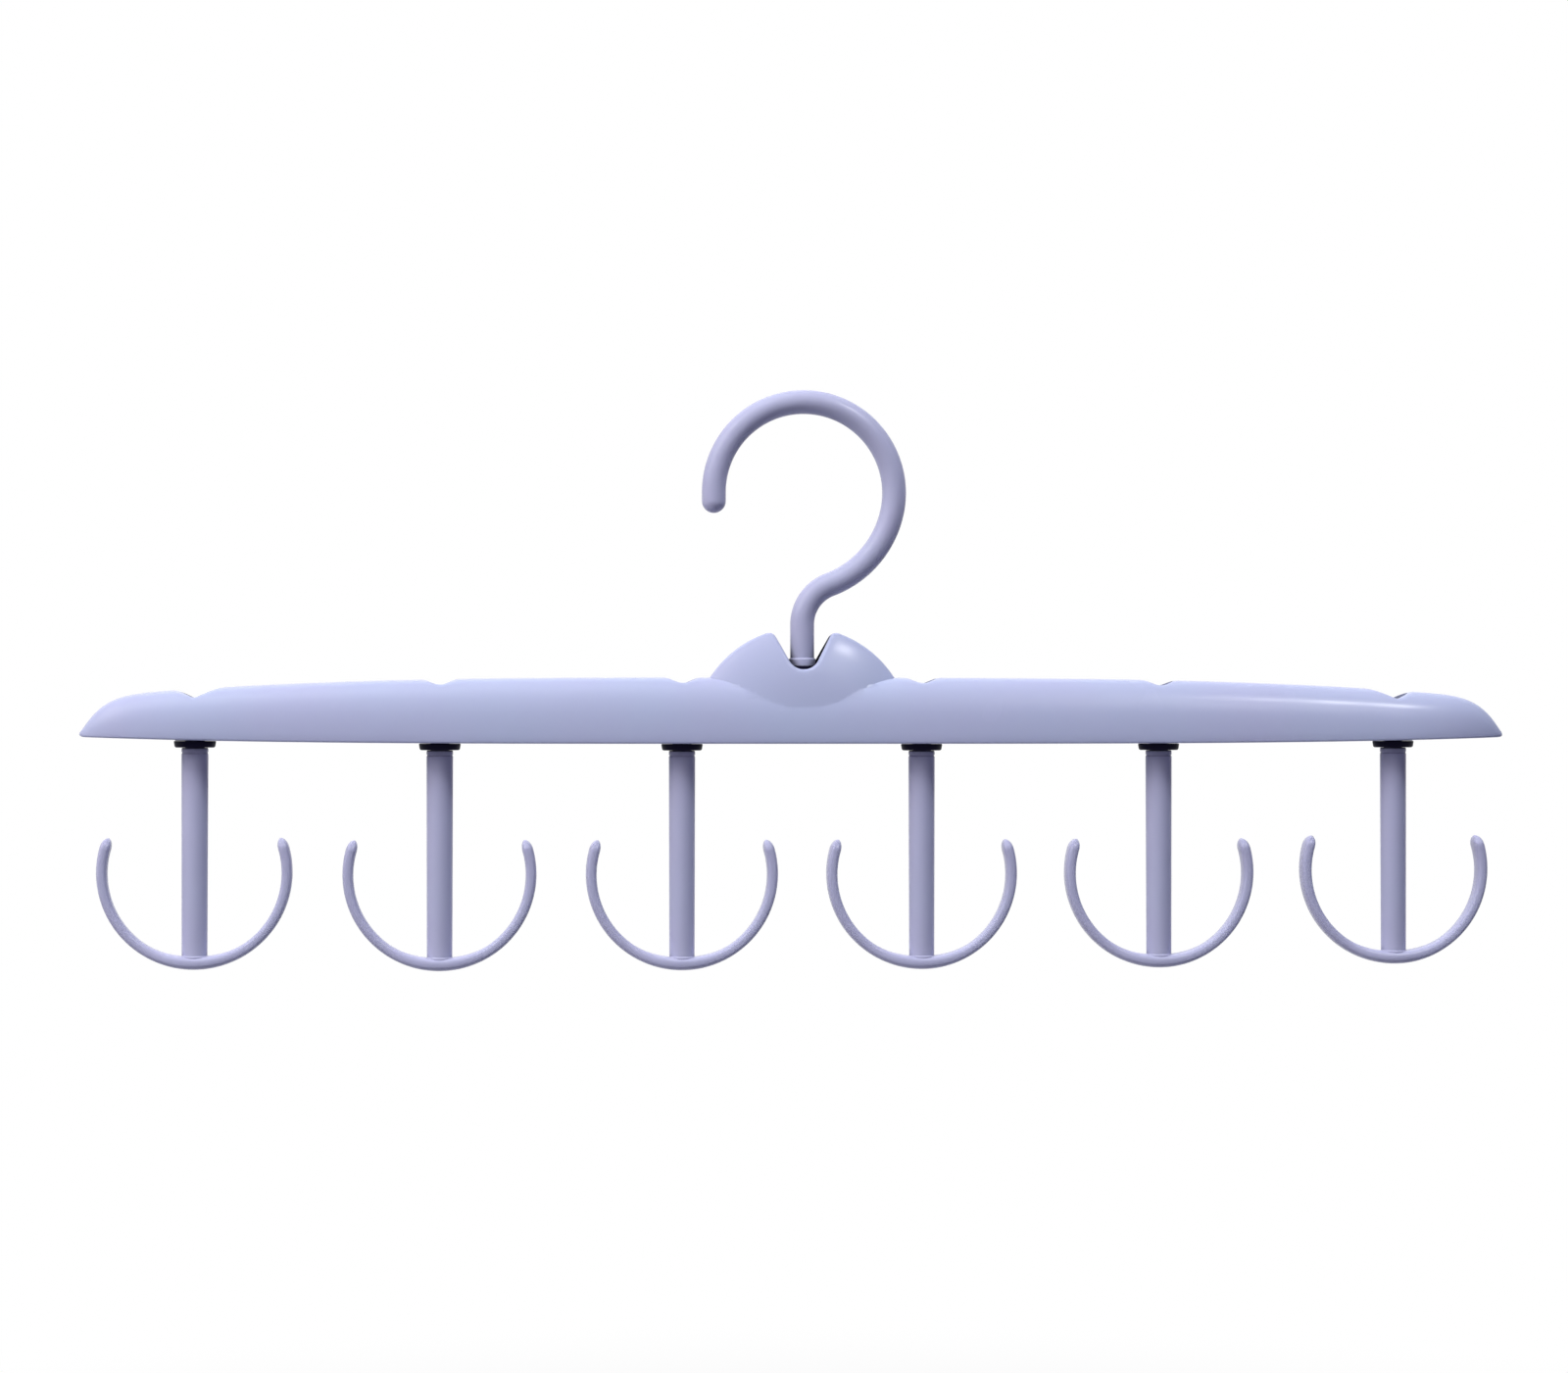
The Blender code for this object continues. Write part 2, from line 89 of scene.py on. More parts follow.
def addNode(tree, kind, settings=None, links=None):
    # settings: property names and socket names or numbers; links: input socket -> output socket
    node = tree.nodes.new(kind)
    for key, value in (settings or {}).items():
        if isinstance(key, str) and hasattr(node, key):
            setattr(node, key, value)
        else:
            node.inputs[key].default_value = value
    for key, source in (links or {}).items():
        tree.links.new(source, node.inputs[key])
    return node


def meshFrom(name, points, faces):
    mesh = bpy.data.meshes.new(name)
    mesh.from_pydata([tuple(p) for p in points], [], faces)
    shape = bmesh.new()
    shape.from_mesh(mesh)
    bmesh.ops.remove_doubles(shape, verts=shape.verts, dist=meshing["weld"])
    bmesh.ops.dissolve_degenerate(shape, edges=shape.edges, dist=meshing["weld"])
    bmesh.ops.recalc_face_normals(shape, faces=shape.faces)
    shape.to_mesh(mesh)
    shape.free()
    return mesh


def addObject(name, mesh):
    item = bpy.data.objects.new(name, mesh)
    bpy.context.scene.collection.objects.link(item)
    return item


def loft(name, rings):
    # closed skin over rings in metres that have the same number of points, flat at both ends
    sides = len(rings[0])
    points = [point for ring in rings for point in ring]
    faces = []
    for row in range(len(rings) - 1):
        for side in range(sides):
            beside = (side + 1) % sides
            a, b = row * sides, (row + 1) * sides
            faces.append((a + side, a + beside, b + beside, b + side))
    faces.append(tuple(range(sides)))
    faces.append(tuple(range(len(points) - sides, len(points))))
    return meshFrom(name, points, faces)


def turned(name, profile, steps=meshing["roundSteps"]):
    # closed profile of (radius, height), swept round Z
    sides = len(profile)
    points, faces = [], []
    for step in range(steps):
        turn = 2 * math.pi * step / steps
        points.extend((r * mm * math.cos(turn), r * mm * math.sin(turn), z * mm) for r, z in profile)
        a, b = step * sides, (step + 1) % steps * sides
        for side in range(sides):
            beside = (side + 1) % sides
            faces.append((a + side, b + side, b + beside, a + beside))
    return meshFrom(name, points, faces)


def cylinder(name, low, high, radius):
    return turned(name, [(0, high), (radius, high), (radius, low), (0, low)], meshing["boreSteps"])


def box(name, centre, size):
    middle = Matrix.Translation([value * mm for value in centre])
    stretch = Matrix.Diagonal([value * mm for value in size] + [1])
    shape = bmesh.new()
    bmesh.ops.create_cube(shape, size=1, matrix=middle @ stretch)
    mesh = bpy.data.meshes.new(name)
    shape.to_mesh(mesh)
    shape.free()
    return mesh


def arc(centre, radius, start, end, steps):
    turns = [start + (end - start) * step / steps for step in range(steps + 1)]
    return [(centre[0] + radius * math.cos(t), centre[1] + radius * math.sin(t)) for t in turns]


def moved(mesh, x):
    mesh.transform(Matrix.Translation((x * mm, 0, 0)))
    return mesh


def merged(name, meshes):
    # several closed shapes in one mesh
    shape = bmesh.new()
    for mesh in meshes:
        shape.from_mesh(mesh)
    result = bpy.data.meshes.new(name)
    shape.to_mesh(result)
    shape.free()
    return result


def carved(name, mesh, steps):
    # steps: (UNION or DIFFERENCE, mesh), done in order with exact Booleans
    body = addObject(name, mesh)
    tools = []
    for operation, toolMesh in steps:
        tool = addObject("tool", toolMesh)
        tools.append(tool)
        change = body.modifiers.new(operation.lower(), "BOOLEAN")
        change.operation = operation
        change.solver = "EXACT"
        change.object = tool
    bpy.context.view_layer.update()
    result = bpy.data.meshes.new_from_object(body.evaluated_get(bpy.context.evaluated_depsgraph_get()))
    result.name = name
    for item in tools + [body]:
        bpy.data.objects.remove(item, do_unlink=True)
    return result


def finishMesh(mesh, material, sharpFrom=meshing["sharpFrom"]):
    mesh.materials.clear()
    mesh.materials.append(material)
    mesh.shade_smooth()
    mesh.set_sharp_from_angle(angle=math.radians(sharpFrom))
    for face in mesh.polygons:
        face.material_index = 0


def place(piece, body, node, slotName):
    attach(piece, body)
    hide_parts(node)
    print("stage:", piece.name, "on", body, len(piece.data.polygons), "faces")


plasticLook = {
    "shellTints": ("B0BAD7", "B3B2D3"),
    # the hooks' tints are a little darker than the shell's: painted shade for the light that the beam keeps
    # off the double hooks; the top hook shares them
    "hookTints": ("B0B5D0", "B4B0CF"),
    "tintSize": 34,      # drift of the colour along a moulding
    "roughness": 0.25, "roughnessDrift": 0.05,
    "grain": 0.35,       # satin of the mould, drawn coarser than the real 0.05 mm so that it shows
    "grainHeight": 0.0015, "grainStrength": 0.2,
    "flowSize": 11,      # faint waves where the melt ran
    "flowHeight": 0.03, "flowStrength": 0.25,
    "ior": 1.49, "specular": 0.12,
    "translucence": 0.12, "lightReach": 1.2, "lightReachShares": (1.0, 0.9, 1.2),
    "shadeReach": 9,     # how near another wall has to be for a recess to get painted shade
    "shadeFloor": 0.06, "shadeSamples": 8,
    "shellShade": (0.4, 0.8),   # openness at which the painted shade is full, and at which it ends
    "hookShade": (0.15, 0.65),
}


def mouldedPolypropylene(name, tints, shade):
    # injection-moulded polypropylene: soft satin gloss, slightly translucent, colour drifts a little, and
    # painted shade darkens the colour in recesses and near other walls
    look = plasticLook
    material = bpy.data.materials.new(name)
    material.use_nodes = True
    tree = material.node_tree
    shader = tree.nodes["Principled BSDF"]
    where = {"Vector": addNode(tree, "ShaderNodeTexCoord").outputs["Object"]}
    drift = addNode(tree, "ShaderNodeTexNoise", {"Scale": 1 / (look["tintSize"] * mm), "Detail": 2}, where)
    grain = addNode(tree, "ShaderNodeTexNoise", {"Scale": 1 / (look["grain"] * mm), "Detail": 2}, where)
    flow = addNode(tree, "ShaderNodeTexNoise", {"Scale": 1 / (look["flowSize"] * mm), "Detail": 1}, where)
    tint = addNode(tree, "ShaderNodeMix",
                   {"data_type": "RGBA", 6: hexToLinear(tints[0]), 7: hexToLinear(tints[1])},
                   {0: drift.outputs["Fac"]})
    gloss = addNode(tree, "ShaderNodeMapRange",
                    {"To Min": look["roughness"] - look["roughnessDrift"],
                     "To Max": look["roughness"] + look["roughnessDrift"]},
                    {"Value": flow.outputs["Fac"]})
    waves = addNode(tree, "ShaderNodeBump",
                    {"Strength": look["flowStrength"], "Distance": look["flowHeight"] * mm},
                    {"Height": flow.outputs["Fac"]})
    satin = addNode(tree, "ShaderNodeBump",
                    {"Strength": look["grainStrength"], "Distance": look["grainHeight"] * mm},
                    {"Height": grain.outputs["Fac"], "Normal": waves.outputs["Normal"]})
    # painted shade: the colour darkens where other walls stand near, in hollows, notches and under the beam
    recess = addNode(tree, "ShaderNodeAmbientOcclusion",
                     {"samples": look["shadeSamples"], "Distance": look["shadeReach"] * mm})
    depth = addNode(tree, "ShaderNodeMapRange",
                    {"From Min": shade[0], "From Max": shade[1], "To Min": look["shadeFloor"], "To Max": 1},
                    {"Value": recess.outputs["AO"]})
    shaded = addNode(tree, "ShaderNodeMix", {"data_type": "RGBA", "blend_type": "MULTIPLY", 0: 1},
                     {6: tint.outputs[2], 7: depth.outputs["Result"]})
    tree.links.new(shaded.outputs[2], shader.inputs["Base Color"])
    tree.links.new(gloss.outputs["Result"], shader.inputs["Roughness"])
    tree.links.new(satin.outputs["Normal"], shader.inputs["Normal"])
    shader.inputs["IOR"].default_value = look["ior"]
    shader.inputs["Specular IOR Level"].default_value = look["specular"]
    shader.inputs["Subsurface Weight"].default_value = look["translucence"]
    shader.inputs["Subsurface Radius"].default_value = look["lightReachShares"]
    shader.inputs["Subsurface Scale"].default_value = look["lightReach"] * mm
    return material


acetalLook = {
    "colour": "0C0824", "roughness": 0.42, "ior": 1.48, "specular": 0.06,
    "grain": 0.5,        # fine matt of the mould, drawn coarser than the real 0.05 mm so that it shows
    "grainHeight": 0.02, "grainStrength": 0.2,
}


def mouldedAcetal():
    # injection-moulded acetal: dense and near black, with a blue cast and a dull sheen
    look = acetalLook
    material = bpy.data.materials.new("mouldedAcetalBlack")
    material.use_nodes = True
    tree = material.node_tree
    shader = tree.nodes["Principled BSDF"]
    where = {"Vector": addNode(tree, "ShaderNodeTexCoord").outputs["Object"]}
    grain = addNode(tree, "ShaderNodeTexNoise", {"Scale": 1 / (look["grain"] * mm), "Detail": 2}, where)
    satin = addNode(tree, "ShaderNodeBump",
                    {"Strength": look["grainStrength"], "Distance": look["grainHeight"] * mm},
                    {"Height": grain.outputs["Fac"]})
    tree.links.new(satin.outputs["Normal"], shader.inputs["Normal"])
    shader.inputs["Base Color"].default_value = hexToLinear(look["colour"])
    shader.inputs["Roughness"].default_value = look["roughness"]
    shader.inputs["IOR"].default_value = look["ior"]
    shader.inputs["Specular IOR Level"].default_value = look["specular"]
    return material


lavender = mouldedPolypropylene("mouldedPolypropyleneHook", plasticLook["hookTints"],
                                plasticLook["hookShade"])
lavenderShell = mouldedPolypropylene("mouldedPolypropyleneShell", plasticLook["shellTints"],
                                     plasticLook["shellShade"])
black = mouldedAcetal()
print("stage: materials ready")


beamForm = {
    "halfLength": round(beamHigh.x / mm, 3), "halfDepth": round(beamHigh.y / mm, 3),
    "height": 17.6, "wall": 2, "endHook": max(hookPlaces),
    "noseBlock": 9,                 # the hollow ends that far before each tip
    "bow": 1.8, "bowPower": 3.9,    # rise of the underside towards the tips
    "drop": 7.5, "dropPower": 3.5,  # loss of height towards the tips
    "nosePower": 6, "sectionPower": 2.6,
    "tipHeight": 1.4, "tipLift": 0.6, "tipPower": 70,
    "lip": 0.5, "lipShare": 0.3, "lipSteps": 4,  # rounding of the lower edges
    "openBelow": 2,                 # how far the cutter of the hollow hangs out underneath
    "archSteps": 36, "noseSteps": 30, "midStep": 4,
}
notchForm = {
    "depth": 1.3, "endDepth": 2.3, "round": 4.2, "endRound": 1.6,
    "lean": math.radians(65), "reach": 6.6,
    "soft": 0.8,                   # rounding where a notch leaves the beam's top
    "window": (3.9, 4.2), "windowDepth": 4,      # oval opening into the hollow, by its half axes
    "step": 0.4, "stepClear": 0.3,
}
hubForm = {
    "radius": 29.2, "centre": 1.8, "root": 3.0, "wall": 1.3,
    "inset": 0.6,                  # how far the middle of the face lies behind the beam's
    "dome": 4.8, "domePower": 3,   # how the lens falls off to its rim
    "rim": 1.8, "rimLeastShare": 0.03, "rimFadeFrom": 5, "rimFadeOver": 8, "rootRim": 0.05,
    "veeBottom": 19.7, "veeRound": 4.3, "veeLean": math.radians(28), "veeEdge": 1.15,
    "peak": 1.8, "peakFade": 6,    # rounding of the two peaks beside the V-notch
    "outlineStep": 0.5, "rootStep": 2, "peakSteps": 8, "veeSteps": 10, "rimSteps": 5, "probe": 0.1,
    "faceStep": 1.1, "rowShare": 0.866, "clearShare": 0.55,
    "roomFaceSteps": 12, "roomRimSteps": 6, "roomTurns": 120,
    "floorTop": 19.1, "floorThickness": 3.0, "floorLength": 18, "floorDepth": 11.6,
}
bossForm = {
    "radius": 5.2, "height": 6.5, "bore": 2.8,
    "rib": 1.8, "ribShort": 2,     # cross rib, lower than the boss
    "seat": 5.5,                   # radius of the disc under it
}


def noseShare(x):
    # 0 up to the end hook, 1 at the very tip
    return min(1, max(0, (abs(x) - beamForm["endHook"]) / (beamForm["halfLength"] - beamForm["endHook"])))


def underside(x):
    lift = beamForm["tipLift"] * noseShare(x) ** beamForm["tipPower"]
    return beamForm["bow"] * (abs(x) / beamForm["halfLength"]) ** beamForm["bowPower"] + lift


def heightAt(x):
    full = beamForm["height"] - beamForm["drop"] * (abs(x) / beamForm["halfLength"]) ** beamForm["dropPower"]
    blunt = beamForm["tipHeight"] ** 2 * (1 - noseShare(x) ** beamForm["tipPower"])
    return math.sqrt((full * (1 - noseShare(x) ** beamForm["nosePower"])) ** 2 + blunt * noseShare(x))


def halfDepthAt(x):
    return beamForm["halfDepth"] * math.sqrt(1 - noseShare(x) ** 2)


def seatLevel(x):
    # the disc under the beam lies level, at the lowest point that it covers
    return underside(max(0, abs(x) - bossForm["seat"]))


def softMin(a, b, soft):
    share = min(1, max(0, 0.5 + 0.5 * (b - a) / soft))
    return b + (a - b) * share - soft * share * (1 - share)


def notchLevel(x):
    # height of the nearest notch's outline at x, or None away from the notches
    form = notchForm
    nearest = min(hookPlaces, key=lambda spot: abs(spot - x))
    aside = abs(x - nearest)
    if aside > form["reach"]:
        return None
    end = abs(nearest) == beamForm["endHook"]
    depth, rounding = (form["endDepth"], form["endRound"]) if end else (form["depth"], form["round"])
    bottom = underside(nearest) + heightAt(nearest) - depth
    turn = rounding * math.cos(form["lean"])
    if aside < turn:
        return bottom + rounding - math.sqrt(rounding ** 2 - aside ** 2)
    start = bottom + rounding * (1 - math.sin(form["lean"]))
    return start + (aside - turn) / math.tan(form["lean"])


def arch(height, depth, startRise):
    # half-round of the section from startRise on one side, over the top, to startRise on the other
    power = beamForm["sectionPower"]
    steps = beamForm["archSteps"]
    first = math.asin((startRise / height) ** (power / 2)) if height > startRise else math.pi / 4
    points = []
    for step in range(steps + 1):
        turn = first + (math.pi - 2 * first) * step / steps
        across = depth * math.copysign(abs(math.cos(turn)) ** (2 / power), math.cos(turn))
        points.append((across, height * math.sin(turn) ** (2 / power)))
    return points


def outerRing(x):
    low, height, depth = underside(x), heightAt(x), halfDepthAt(x)
    lip, steps = min(beamForm["lip"], beamForm["lipShare"] * min(height, depth)), beamForm["lipSteps"]
    section = arch(height, depth, lip)
    cut = notchLevel(x)
    if cut is not None:
        section = [(y, softMin(z, cut - low, notchForm["soft"])) for y, z in section]
    edge = section[0][0]
    section = section + arc((-edge + lip, lip), lip, math.pi, 1.5 * math.pi, steps)[1:]
    section = section + arc((edge - lip, lip), lip, -math.pi / 2, 0, steps)[:-1]
    return [Vector((x, y, low + z)) * mm for y, z in section]


def hollowRing(x):
    low, height, depth = underside(x), heightAt(x) - beamForm["wall"], halfDepthAt(x) - beamForm["wall"]
    lip, steps, below = beamForm["lip"], beamForm["lipSteps"], beamForm["openBelow"]
    section = arch(height, depth, lip)
    edge = section[0][0]
    section = section + arc((-edge - lip, lip), lip, 0, -math.pi / 2, steps)[1:]
    section = section + [(-edge - lip, -below), (edge + lip, -below)]
    section = section + arc((edge + lip, lip), lip, 1.5 * math.pi, math.pi, steps)[:-1]
    return [Vector((x, y, low + z)) * mm for y, z in section]


def beamStations(reach):
    # wide steps along the beam, fine ones across each notch, and closer ones towards the tips
    form = beamForm
    count = int(form["endHook"] / form["midStep"])
    spots = [form["midStep"] * step for step in range(-count, count + 1)]
    count = int(notchForm["reach"] / notchForm["step"])
    for middle in hookPlaces:
        spots = [s for s in spots if abs(s - middle) > notchForm["reach"] + notchForm["stepClear"]]
        spots = spots + [middle + notchForm["step"] * step for step in range(-count, count + 1)]
    outward = max(spots)
    for step in range(1, form["noseSteps"] + 1):
        turn = math.pi / 2 * step / form["noseSteps"]
        spot = outward + (reach - outward) * math.sin(turn)
        spots = spots + [spot, -spot]
    return sorted(spots)


def hubOutline():
    # (x, z, rim radius) round the hub, anticlockwise from its right-hand root
    form = hubForm
    lean, ball = form["veeLean"], form["veeRound"]
    turnX, turnZ = ball * math.cos(lean), form["veeBottom"] + ball * (1 - math.sin(lean))
    slope = math.tan(lean)
    offset = turnX - (turnZ - form["centre"]) * slope
    square = 1 + slope ** 2
    span = math.sqrt((offset * slope) ** 2 - square * (offset ** 2 - form["radius"] ** 2))
    rise = (span - offset * slope) / square
    peak = Vector((offset + rise * slope, rise))  # where the V-notch's flank would meet the hub's circle
    peakTurn = math.atan2(peak.y, peak.x) - form["peak"] / form["radius"]
    root = math.asin((form["root"] - form["centre"]) / form["radius"])
    count = int(form["radius"] * (peakTurn - root) / form["outlineStep"])
    side = []
    for x, z in arc((0, form["centre"]), form["radius"], root, peakTurn, count):
        fade = min(1, max(form["rimLeastShare"], (z - form["rimFadeFrom"]) / form["rimFadeOver"]))
        toPeak = min(1, form["radius"] * (peakTurn - math.atan2(z - form["centre"], x)) / form["peakFade"])
        side.append((x, z, form["rim"] * fade * toPeak + form["veeEdge"] * (1 - toPeak)))
    rimEnd = Vector(side[-1][:2])
    corner = Vector((peak.x, form["centre"] + peak.y))
    flankStart = corner - Vector((math.sin(lean), math.cos(lean))) * form["peak"]
    for step in range(1, form["peakSteps"] + 1):
        share = step / form["peakSteps"]
        bend = rimEnd * (1 - share) ** 2 + corner * 2 * share * (1 - share) + flankStart * share ** 2
        side.append((bend.x, bend.y, form["veeEdge"]))
    flankEnd = Vector((turnX, turnZ))
    count = int((flankStart - flankEnd).length / form["outlineStep"])
    for step in range(1, count + 1):
        spot = flankStart.lerp(flankEnd, step / count)
        side.append((spot.x, spot.y, form["veeEdge"]))
    for x, z in arc((0, form["veeBottom"] + ball), ball, -lean, -math.pi / 2, form["veeSteps"])[1:]:
        side.append((x, z, form["veeEdge"]))
    mirrored = [(-x, z, rim) for x, z, rim in reversed(side[:-1])]
    width = 2 * side[0][0]
    count = int(width / form["rootStep"])
    rootLine = [(width * step / count - width / 2, form["root"], form["rootRim"]) for step in range(1, count)]
    return side + mirrored + rootLine


def hubFace(x, z):
    # distance of the lens face from the middle plane
    form = hubForm
    edge = form["radius"] - form["rim"]
    middle = beamForm["halfDepth"] - form["inset"]
    return middle - form["dome"] * (math.hypot(x, z - form["centre"]) / edge) ** form["domePower"]


def hubRimRows(outline):
    # the rounded rim in rows of (x, depth, z), from the outline inwards to the lens face
    form = hubForm
    probe, total = form["probe"], len(outline)
    inward = []
    for number in range(total):
        before, after = outline[number - 1], outline[(number + 1) % total]
        along = Vector((after[0] - before[0], after[1] - before[1])).normalized()
        inward.append(Vector((-along.y, along.x)))
    rows = []
    for step in range(form["rimSteps"] + 1):
        row = []
        for (x, z, rim), normal in zip(outline, inward):
            ahead, here = hubFace(x + normal.x * probe, z + normal.y * probe), hubFace(x, z)
            last = math.pi / 2 - math.atan((ahead - here) / probe)
            turn = last * step / form["rimSteps"]
            reach = rim * (1 - math.cos(last))
            top = hubFace(x + normal.x * reach, z + normal.y * reach)
            inset = rim * (1 - math.cos(turn))
            depth = top - rim * (math.sin(last) - math.sin(turn))
            row.append((x + normal.x * inset, depth, z + normal.y * inset))
        rows.append(row)
    return rows


def hubLattice(loop):
    # triangular lattice over the hub's face, clear of the loop's own points
    form = hubForm
    pitch, rise = form["faceStep"], form["faceStep"] * form["rowShare"]
    reach = int(form["radius"] / pitch) + 1
    lattice = []
    for row in range(int(form["radius"] / rise) + 1):
        for column in range(-reach, reach + 1):
            spot = Vector((pitch * (column + (row % 2) / 2), form["root"] + rise * (row + 0.5)))
            if min((spot - edge).length_squared for edge in loop) > (form["clearShare"] * pitch) ** 2:
                lattice.append(spot)
    return lattice


def hubSolid():
    rows = hubRimRows(hubOutline())
    total = len(rows[0])
    loop = [Vector((x, z)) for x, depth, z in rows[-1]]
    loopEdges = [(number, (number + 1) % total) for number in range(total)]
    onlyInside = 1  # the triangles outside the loop are dropped
    flat = geometry.delaunay_2d_cdt(loop + hubLattice(loop), loopEdges, [], onlyInside, meshing["tolerance"])
    points, faces, starts = [], [], []
    for side in (-1, 1):
        start = len(points)
        starts.append(start)
        for row in rows:
            points = points + [(x, side * depth, z) for x, depth, z in row]
        for row in range(len(rows) - 1):
            a, b = start + row * total, start + (row + 1) * total
            faces = faces + [(a + near, a + far, b + far, b + near) for near, far in loopEdges]
        cap = len(points)
        points = points + [(p.x, side * hubFace(p.x, p.y), p.y) for p in flat[0]]
        faces = faces + [tuple(cap + corner for corner in face) for face in flat[2]]
    a, b = starts
    faces = faces + [(a + near, a + far, b + far, b + near) for near, far in loopEdges]
    return meshFrom("hub", [Vector(p) * mm for p in points], faces)


def hubRoom():
    # the lens-shaped room inside the hub, cut off level at its root
    form = hubForm
    radius, middle = form["radius"] - form["wall"], beamForm["halfDepth"] - form["inset"] - form["wall"]
    rim = min(form["rim"], (middle - form["dome"]) / 2)
    edge = radius - rim
    shares = [step / form["roomFaceSteps"] for step in range(form["roomFaceSteps"] + 1)]
    face = [(edge * share, middle - form["dome"] * share ** form["domePower"]) for share in shares]
    upper = face + arc((edge, face[-1][1] - rim), rim, math.pi / 2, 0, form["roomRimSteps"])[1:]
    mesh = turned("hubRoom", upper + [(r, -level) for r, level in reversed(upper)], form["roomTurns"])
    mesh.transform(Matrix.Translation((0, 0, form["centre"] * mm)) @ Matrix.Rotation(math.pi / 2, 4, "X"))
    shape = bmesh.new()
    shape.from_mesh(mesh)
    root = Vector((0, 0, form["root"] * mm))
    parts = shape.verts[:] + shape.edges[:] + shape.faces[:]
    cut = bmesh.ops.bisect_plane(shape, geom=parts, plane_co=root, plane_no=(0, 0, -1), clear_outer=True)
    bmesh.ops.edgeloop_fill(shape, edges=[e for e in cut["geom_cut"] if isinstance(e, bmesh.types.BMEdge)])
    bmesh.ops.recalc_face_normals(shape, faces=shape.faces)
    shape.to_mesh(mesh)
    shape.free()
    return mesh


def makeBeam():
    over, reach = meshing["overcut"], beamForm["halfLength"] - beamForm["noseBlock"]
    outer = loft("outer", [outerRing(x) for x in beamStations(beamForm["halfLength"])])
    hollow = loft("hollow", [hollowRing(x) for x in beamStations(reach)])
    inserts, cutters = [], []
    for x in hookPlaces:
        seat, top = seatLevel(x), underside(x) + heightAt(x)
        bossTop = seat + bossForm["height"]
        boss = moved(cylinder("boss", seat, bossTop, bossForm["radius"]), x)
        rib = box("rib", (x, 0, seat + bossForm["height"] / 2),
                  (bossForm["rib"], 2 * beamForm["halfDepth"] - beamForm["wall"],
                   bossForm["height"] - bossForm["ribShort"]))
        inserts.append(carved("insert", boss, [("UNION", rib)]))
        cutters.append(moved(cylinder("bore", seat - over, bossTop + over, bossForm["bore"]), x))
        window = cylinder("window", top - notchForm["windowDepth"], top + over, 1)  # unit round, made oval
        window.transform(Matrix.Diagonal((*notchForm["window"], 1, 1)))
        cutters.append(moved(window, x))
    floorLow, floorTop = hubForm["floorTop"] - hubForm["floorThickness"], hubForm["floorTop"]
    inserts.append(box("floor", (0, 0, floorTop - hubForm["floorThickness"] / 2),
                       (hubForm["floorLength"], hubForm["floorDepth"], hubForm["floorThickness"])))
    cutters.append(cylinder("bore", floorLow - over, floorTop + over, bossForm["bore"]))
    mesh = carved("beamMoulding", outer, [
        ("UNION", hubSolid()),
        ("DIFFERENCE", carved("room", hollow, [("UNION", hubRoom())])),
        ("UNION", merged("inserts", inserts)),
        ("DIFFERENCE", merged("cutters", cutters)),
    ])
    mesh.transform(Matrix.Translation((0, 0, -crown)))
    finishMesh(mesh, lavenderShell, meshing["shellSharpFrom"])
    return addObject("beamMoulding", mesh)


place(makeBeam(), "beam", "beam", "lavender_plastic")


washerForm = {
    "radius": bossForm["seat"], "thickness": 1.75, "bore": bossForm["bore"], "gap": 0.05,
    "upperEdge": 0.25, "lowerEdge": 0.6, "taper": 0.15, "upperSteps": 5, "lowerSteps": 8,
    "topRadius": 3.6, "topThickness": 1.25, "topEdge": 0.35, "topLevel": 20.65,
}


def washerMesh(name, radius, thickness, lowerEdge, taper=0):
    form = washerForm
    edge = form["upperEdge"]
    upper = arc((radius - edge, -edge), edge, math.pi / 2, 0, form["upperSteps"])
    lower = arc((radius - taper - lowerEdge, lowerEdge - thickness), lowerEdge, 0, -math.pi / 2,
                form["lowerSteps"])
    mesh = turned(name, [(form["bore"], 0)] + upper + lower + [(form["bore"], -thickness)])
    finishMesh(mesh, black)
    return mesh


washerShape = washerMesh("swivelWasher", washerForm["radius"], washerForm["thickness"],
                         washerForm["lowerEdge"], washerForm["taper"])
for number, x in enumerate(hookPlaces, start=1):
    washer = addObject("swivelWasher" + str(number), washerShape)
    washer.location = (x * mm, 0, (seatLevel(x) - washerForm["gap"]) * mm - crown)
    place(washer, "beam", "swivel_washer_" + str(number), "dark_plastic")
topWasher = addObject("topWasher", washerMesh("topWasher", washerForm["topRadius"],
                                              washerForm["topThickness"], washerForm["topEdge"]))
topWasher.location.z = washerForm["topLevel"] * mm - crown
place(topWasher, "beam", "top_washer", "dark_plastic")


hookForm = {
    # split snap head inside the beam
    "neck": 2.5, "head": 3.35, "headHeight": 2.8, "headTaper": 0.3, "leadShare": 2 / 3,
    "shoulder": 6.8, "slot": 1.6, "slotSink": 3.25,
    # ring under the disc, a fine groove below it, and the stem
    "ringTop": -1.85, "ringHeight": 1.1, "ring": 3.5, "ringEdge": 0.35, "ringSteps": 4,
    "groove": 0.14, "grooveWidth": 0.35, "grooveTaper": 0.15,
    "stemTop": 3.5, "stemFoot": 3.35, "stemRows": 14, "drop": 60.0,
    "footFillet": 0.4, "filletEnd": 1.45 * math.pi, "filletSteps": 6, "footSink": 1.5,
    # the two arms, by their outer radius and their section at the foot, half way and near the tips
    "arcRadius": 25.5, "footThickness": 3.4, "footDepth": 8.3, "barThickness": 2.8, "barDepth": 5.6,
    "tipThickness": 3.0, "tipDepth": 6.6, "tipRise": math.radians(22), "footSpread": math.radians(38),
    "barPower": 3.2, "armSteps": 120, "barSides": 40,
    "tipLength": 3.4, "tipSteps": 12, "tipLeastShare": 0.02, "tipPower": 2.4, "tipRoundPower": 0.62,
}


